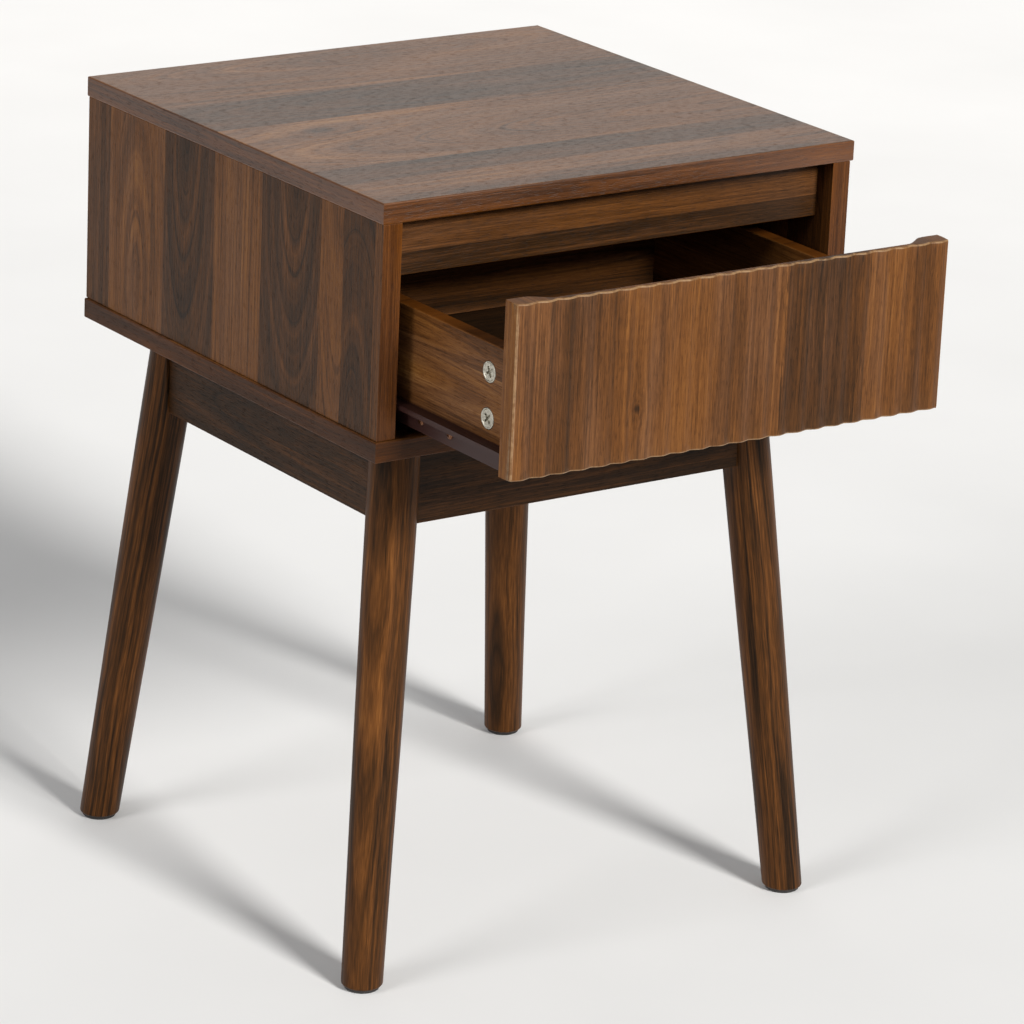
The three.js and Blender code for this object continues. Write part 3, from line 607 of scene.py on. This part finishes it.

# ---- Drawer box -------------------------------------------------------------
# Sides and back of 12 mm board in the walnut print with a golden top strip,
# screwed and cammed together round a thin base sheet held in a groove. The back
# wears the same print darkened, and the base sheet an almost black one: both painted shade.
box_low, box_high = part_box("drawer_side_left")
BOX_PLANKS = [(0.0, 0.66, 0.01, 0.05, 0.2), (0.3, 0.74, 0.04, 0.06, 0.3), (0.7, 0.62, 0.07, 0.05, 0.25)]
side_box = walnut("drawer_box_laminate", level_lay(1, box_low.z, box_high.z - box_low.z), BOX_PLANKS,
                  (0.48, 0.0, 0.0, 0.1), figure=0.9, gloss=0.45, feather=0.06)
wear(side_box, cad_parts["drawer_side_left"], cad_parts["drawer_side_right"])
# The back wears the sides' print made much darker: painted shade for its place deep inside the drawer.
back_box_painted_shade = walnut("drawer_back_laminate_painted_shade", level_lay(0, box_low.z, box_high.z - box_low.z), BOX_PLANKS,
                  (0.48, 0.0, 0.0, 0.1), figure=0.9, gloss=0.45, lift=-0.26)
wear(back_box_painted_shade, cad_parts["drawer_back"])


def sheet_lay(at, looks):
    """Two broad planks side by side across the base sheet."""
    across = at[1] + 0.3
    return at[0] + 0.2, across, across * (EDGE_PLACE / 0.45), looks[2] * 0.0


# The base sheet's print is made almost black: painted shade, as the upturned sheet inside the drawer gets
# little light.
sheet_print_painted_shade = walnut("drawer_base_sheet", sheet_lay, [(0.0, 0.10, 0.1, 0.1, 0.2), (0.5, 0.14, 0.3, 0.1, 0.1)],
                     figure=0.4, gloss=0.55)
wear(sheet_print_painted_shade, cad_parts["drawer_bottom"])

# ---- Cam locks --------------------------------------------------------------
# Cast zinc discs 15 mm across, two in each drawer side, that pull the front
# on: a raised rim round a flat face with a cross-shaped driver recess.
CAM_RADIUS = 0.0074
CAM_DEEP = 0.0088
CAM_RIM = 0.0010
CAM_DISH = 0.0004
RECESS_ARM = 0.0040
RECESS_HALF = 0.0010
RECESS_DEEP = 0.0016
CAM_TURN = {"upper": 0.5, "lower": 0.8}      # how far each stands turned, in radians


def driver_head(radius, rim, dish, arm, slot_half, slot_deep, body_deep):
    """A round head facing +Z with a raised rim and a cross recess; its face lies at z 0."""
    head = bmesh.new()
    bmesh.ops.create_circle(head, cap_ends=True, cap_tris=False, segments=48, radius=radius)
    face = head.faces[:][0]
    face.normal_update()
    if face.normal.z < 0:
        bmesh.ops.reverse_faces(head, faces=[face])
    bmesh.ops.inset_individual(head, faces=[face], thickness=rim, depth=0.0, use_even_offset=True)
    bmesh.ops.inset_individual(head, faces=[face], thickness=dish * 1.2, depth=-dish, use_even_offset=True)
    for offset in (-arm, -slot_half, slot_half, arm):
        for direction in ((1, 0, 0), (0, 1, 0)):
            inner = [f for f in head.faces if all(v.co.to_2d().length < radius - rim - dish for v in f.verts)]
            parts = set(inner) | {e for f in inner for e in f.edges} | {v for f in inner for v in f.verts}
            bmesh.ops.bisect_plane(head, geom=list(parts), plane_co=Vector(direction) * offset,
                                   plane_no=direction)
    cross = []
    for f in head.faces:
        middle = f.calc_center_median()
        a, b = abs(middle.x), abs(middle.y)
        if (a < slot_half and b < arm) or (b < slot_half and a < arm):
            cross.append(f)
    raise_faces(head, cross, -slot_deep)
    bmesh.ops.delete(head, geom=[f for f in cross if f.is_valid], context="FACES_ONLY")
    bmesh.ops.delete(head, geom=[e for e in head.edges if e.is_wire], context="EDGES")
    outer = [e for e in head.edges
             if e.is_boundary and all(v.co.to_2d().length > radius * 0.98 for v in e.verts)]
    skirt = bmesh.ops.extrude_edge_only(head, edges=outer)["geom"]
    low = [g for g in skirt if isinstance(g, bmesh.types.BMVert)]
    bmesh.ops.translate(head, vec=(0, 0, -body_deep), verts=low)
    bmesh.ops.holes_fill(head, edges=[e for e in head.edges if e.is_boundary])
    rounded = [e for e in head.edges if len(e.link_faces) == 2 and e.calc_face_angle() > math.radians(60)
               and all(abs(v.co.to_2d().length - radius) < radius * 0.02
                       and v.co.z > -body_deep * 0.5 for v in e.verts)]
    bmesh.ops.bevel(head, geom=rounded, offset=radius * 0.05, offset_type="OFFSET", affect="EDGES", segments=3,
                    profile=0.5, material=-1, clamp_overlap=True)
    return head


cam_metal, start, at, looks = new_finish("cam_zinc")
haze = speckle(start, at, 500.0, 4.0)
cast = speckle(start, at, 1800.0, 2.0)
close_finish(start, haze.ramp([(0.3, tint(150, 145, 132)), (0.6, tint(205, 200, 186)),
                               (0.8, tint(228, 224, 212))]),
             0.30 + haze * 0.25, haze * 0.4 + cast * 0.6, 0.00015, 0.5, Metallic=0.85)
for side, sign in (("left", -1), ("right", 1)):
    for level in ("upper", "lower"):
        cam_box_low, cam_box_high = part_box("cam_lock_%s_%s" % (side, level))
        middle = (cam_box_low + cam_box_high) / 2
        cam = driver_head(CAM_RADIUS, CAM_RIM, CAM_DISH, RECESS_ARM, RECESS_HALF, RECESS_DEEP, CAM_DEEP)
        turn = Matrix.Rotation(sign * math.pi / 2, 4, "Y") @ Matrix.Rotation(CAM_TURN[level], 4, "Z")
        outer_x = cam_box_high.x if sign > 0 else cam_box_low.x
        seat = Matrix.Translation((outer_x, middle.y, middle.z))
        bmesh.ops.transform(cam, matrix=seat @ turn, verts=cam.verts)
        lock = show("cam_disc_%s_%s" % (side, level), cam, cam_metal)
        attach(lock, "drawer")
        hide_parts("cam_lock_%s_%s" % (side, level))
        wear(zinc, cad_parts["box_screw_%s_%s" % (side, level)])

# ---- Runners, rollers and screws --------------------------------------------
# Rolled steel channels in brown baked enamel, one pair a side, with nylon
# rollers on riveted pins, held by small copper-coloured screws.
enamel, start, at, looks = new_finish("brown_steel")
orange_peel = speckle(start, at, 700.0, 2.0)
rub = start.cloud(at[0] * 300.0, at[1] * 30.0, at[2] * 300.0, 3.0).rise(0.52, 0.75)
shade = (rub * 0.4).blend(tint(52, 29, 25), tint(78, 52, 44))
# The arrises are blended towards a pale grey-brown: a painted highlight along the rolled edges.
close_finish(start, (on_arris(start, looks) * 0.5).blend(shade, tint(118, 92, 78)), 0.46 + rub * 0.2,
             orange_peel, 0.00015, 0.25,
             Metallic=0.15, Specular_IOR_Level=0.3, Coat_Weight=0.06, Coat_Roughness=0.35)
tyre, start, at, looks = new_finish("roller_nylon")
grit = speckle(start, at, 900.0)
close_finish(start, grit.ramp([(0.3, tint(36, 32, 30)), (0.7, tint(58, 52, 48))]), 0.42 + grit * 0.2,
             grit, 0.0001, 0.3)
copper, start, at, looks = new_finish("copper_screw")
haze = speckle(start, at, 800.0)
close_finish(start, haze.ramp([(0.3, tint(88, 56, 40)), (0.7, tint(142, 100, 74))]), 0.25 + haze * 0.25, haze,
             0.0001, 0.3, Metallic=0.9)
for side in ("left", "right"):
    wear(enamel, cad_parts["runner_cabinet_" + side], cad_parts["runner_drawer_" + side])
    wear(tyre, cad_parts["roller_front_" + side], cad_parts["roller_rear_" + side])
    for end in ("front", "rear"):
        wear(copper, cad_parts["drawer_screw_%s_%s" % (side, end)],
             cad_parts["cabinet_screw_%s_%s" % (side, end)])
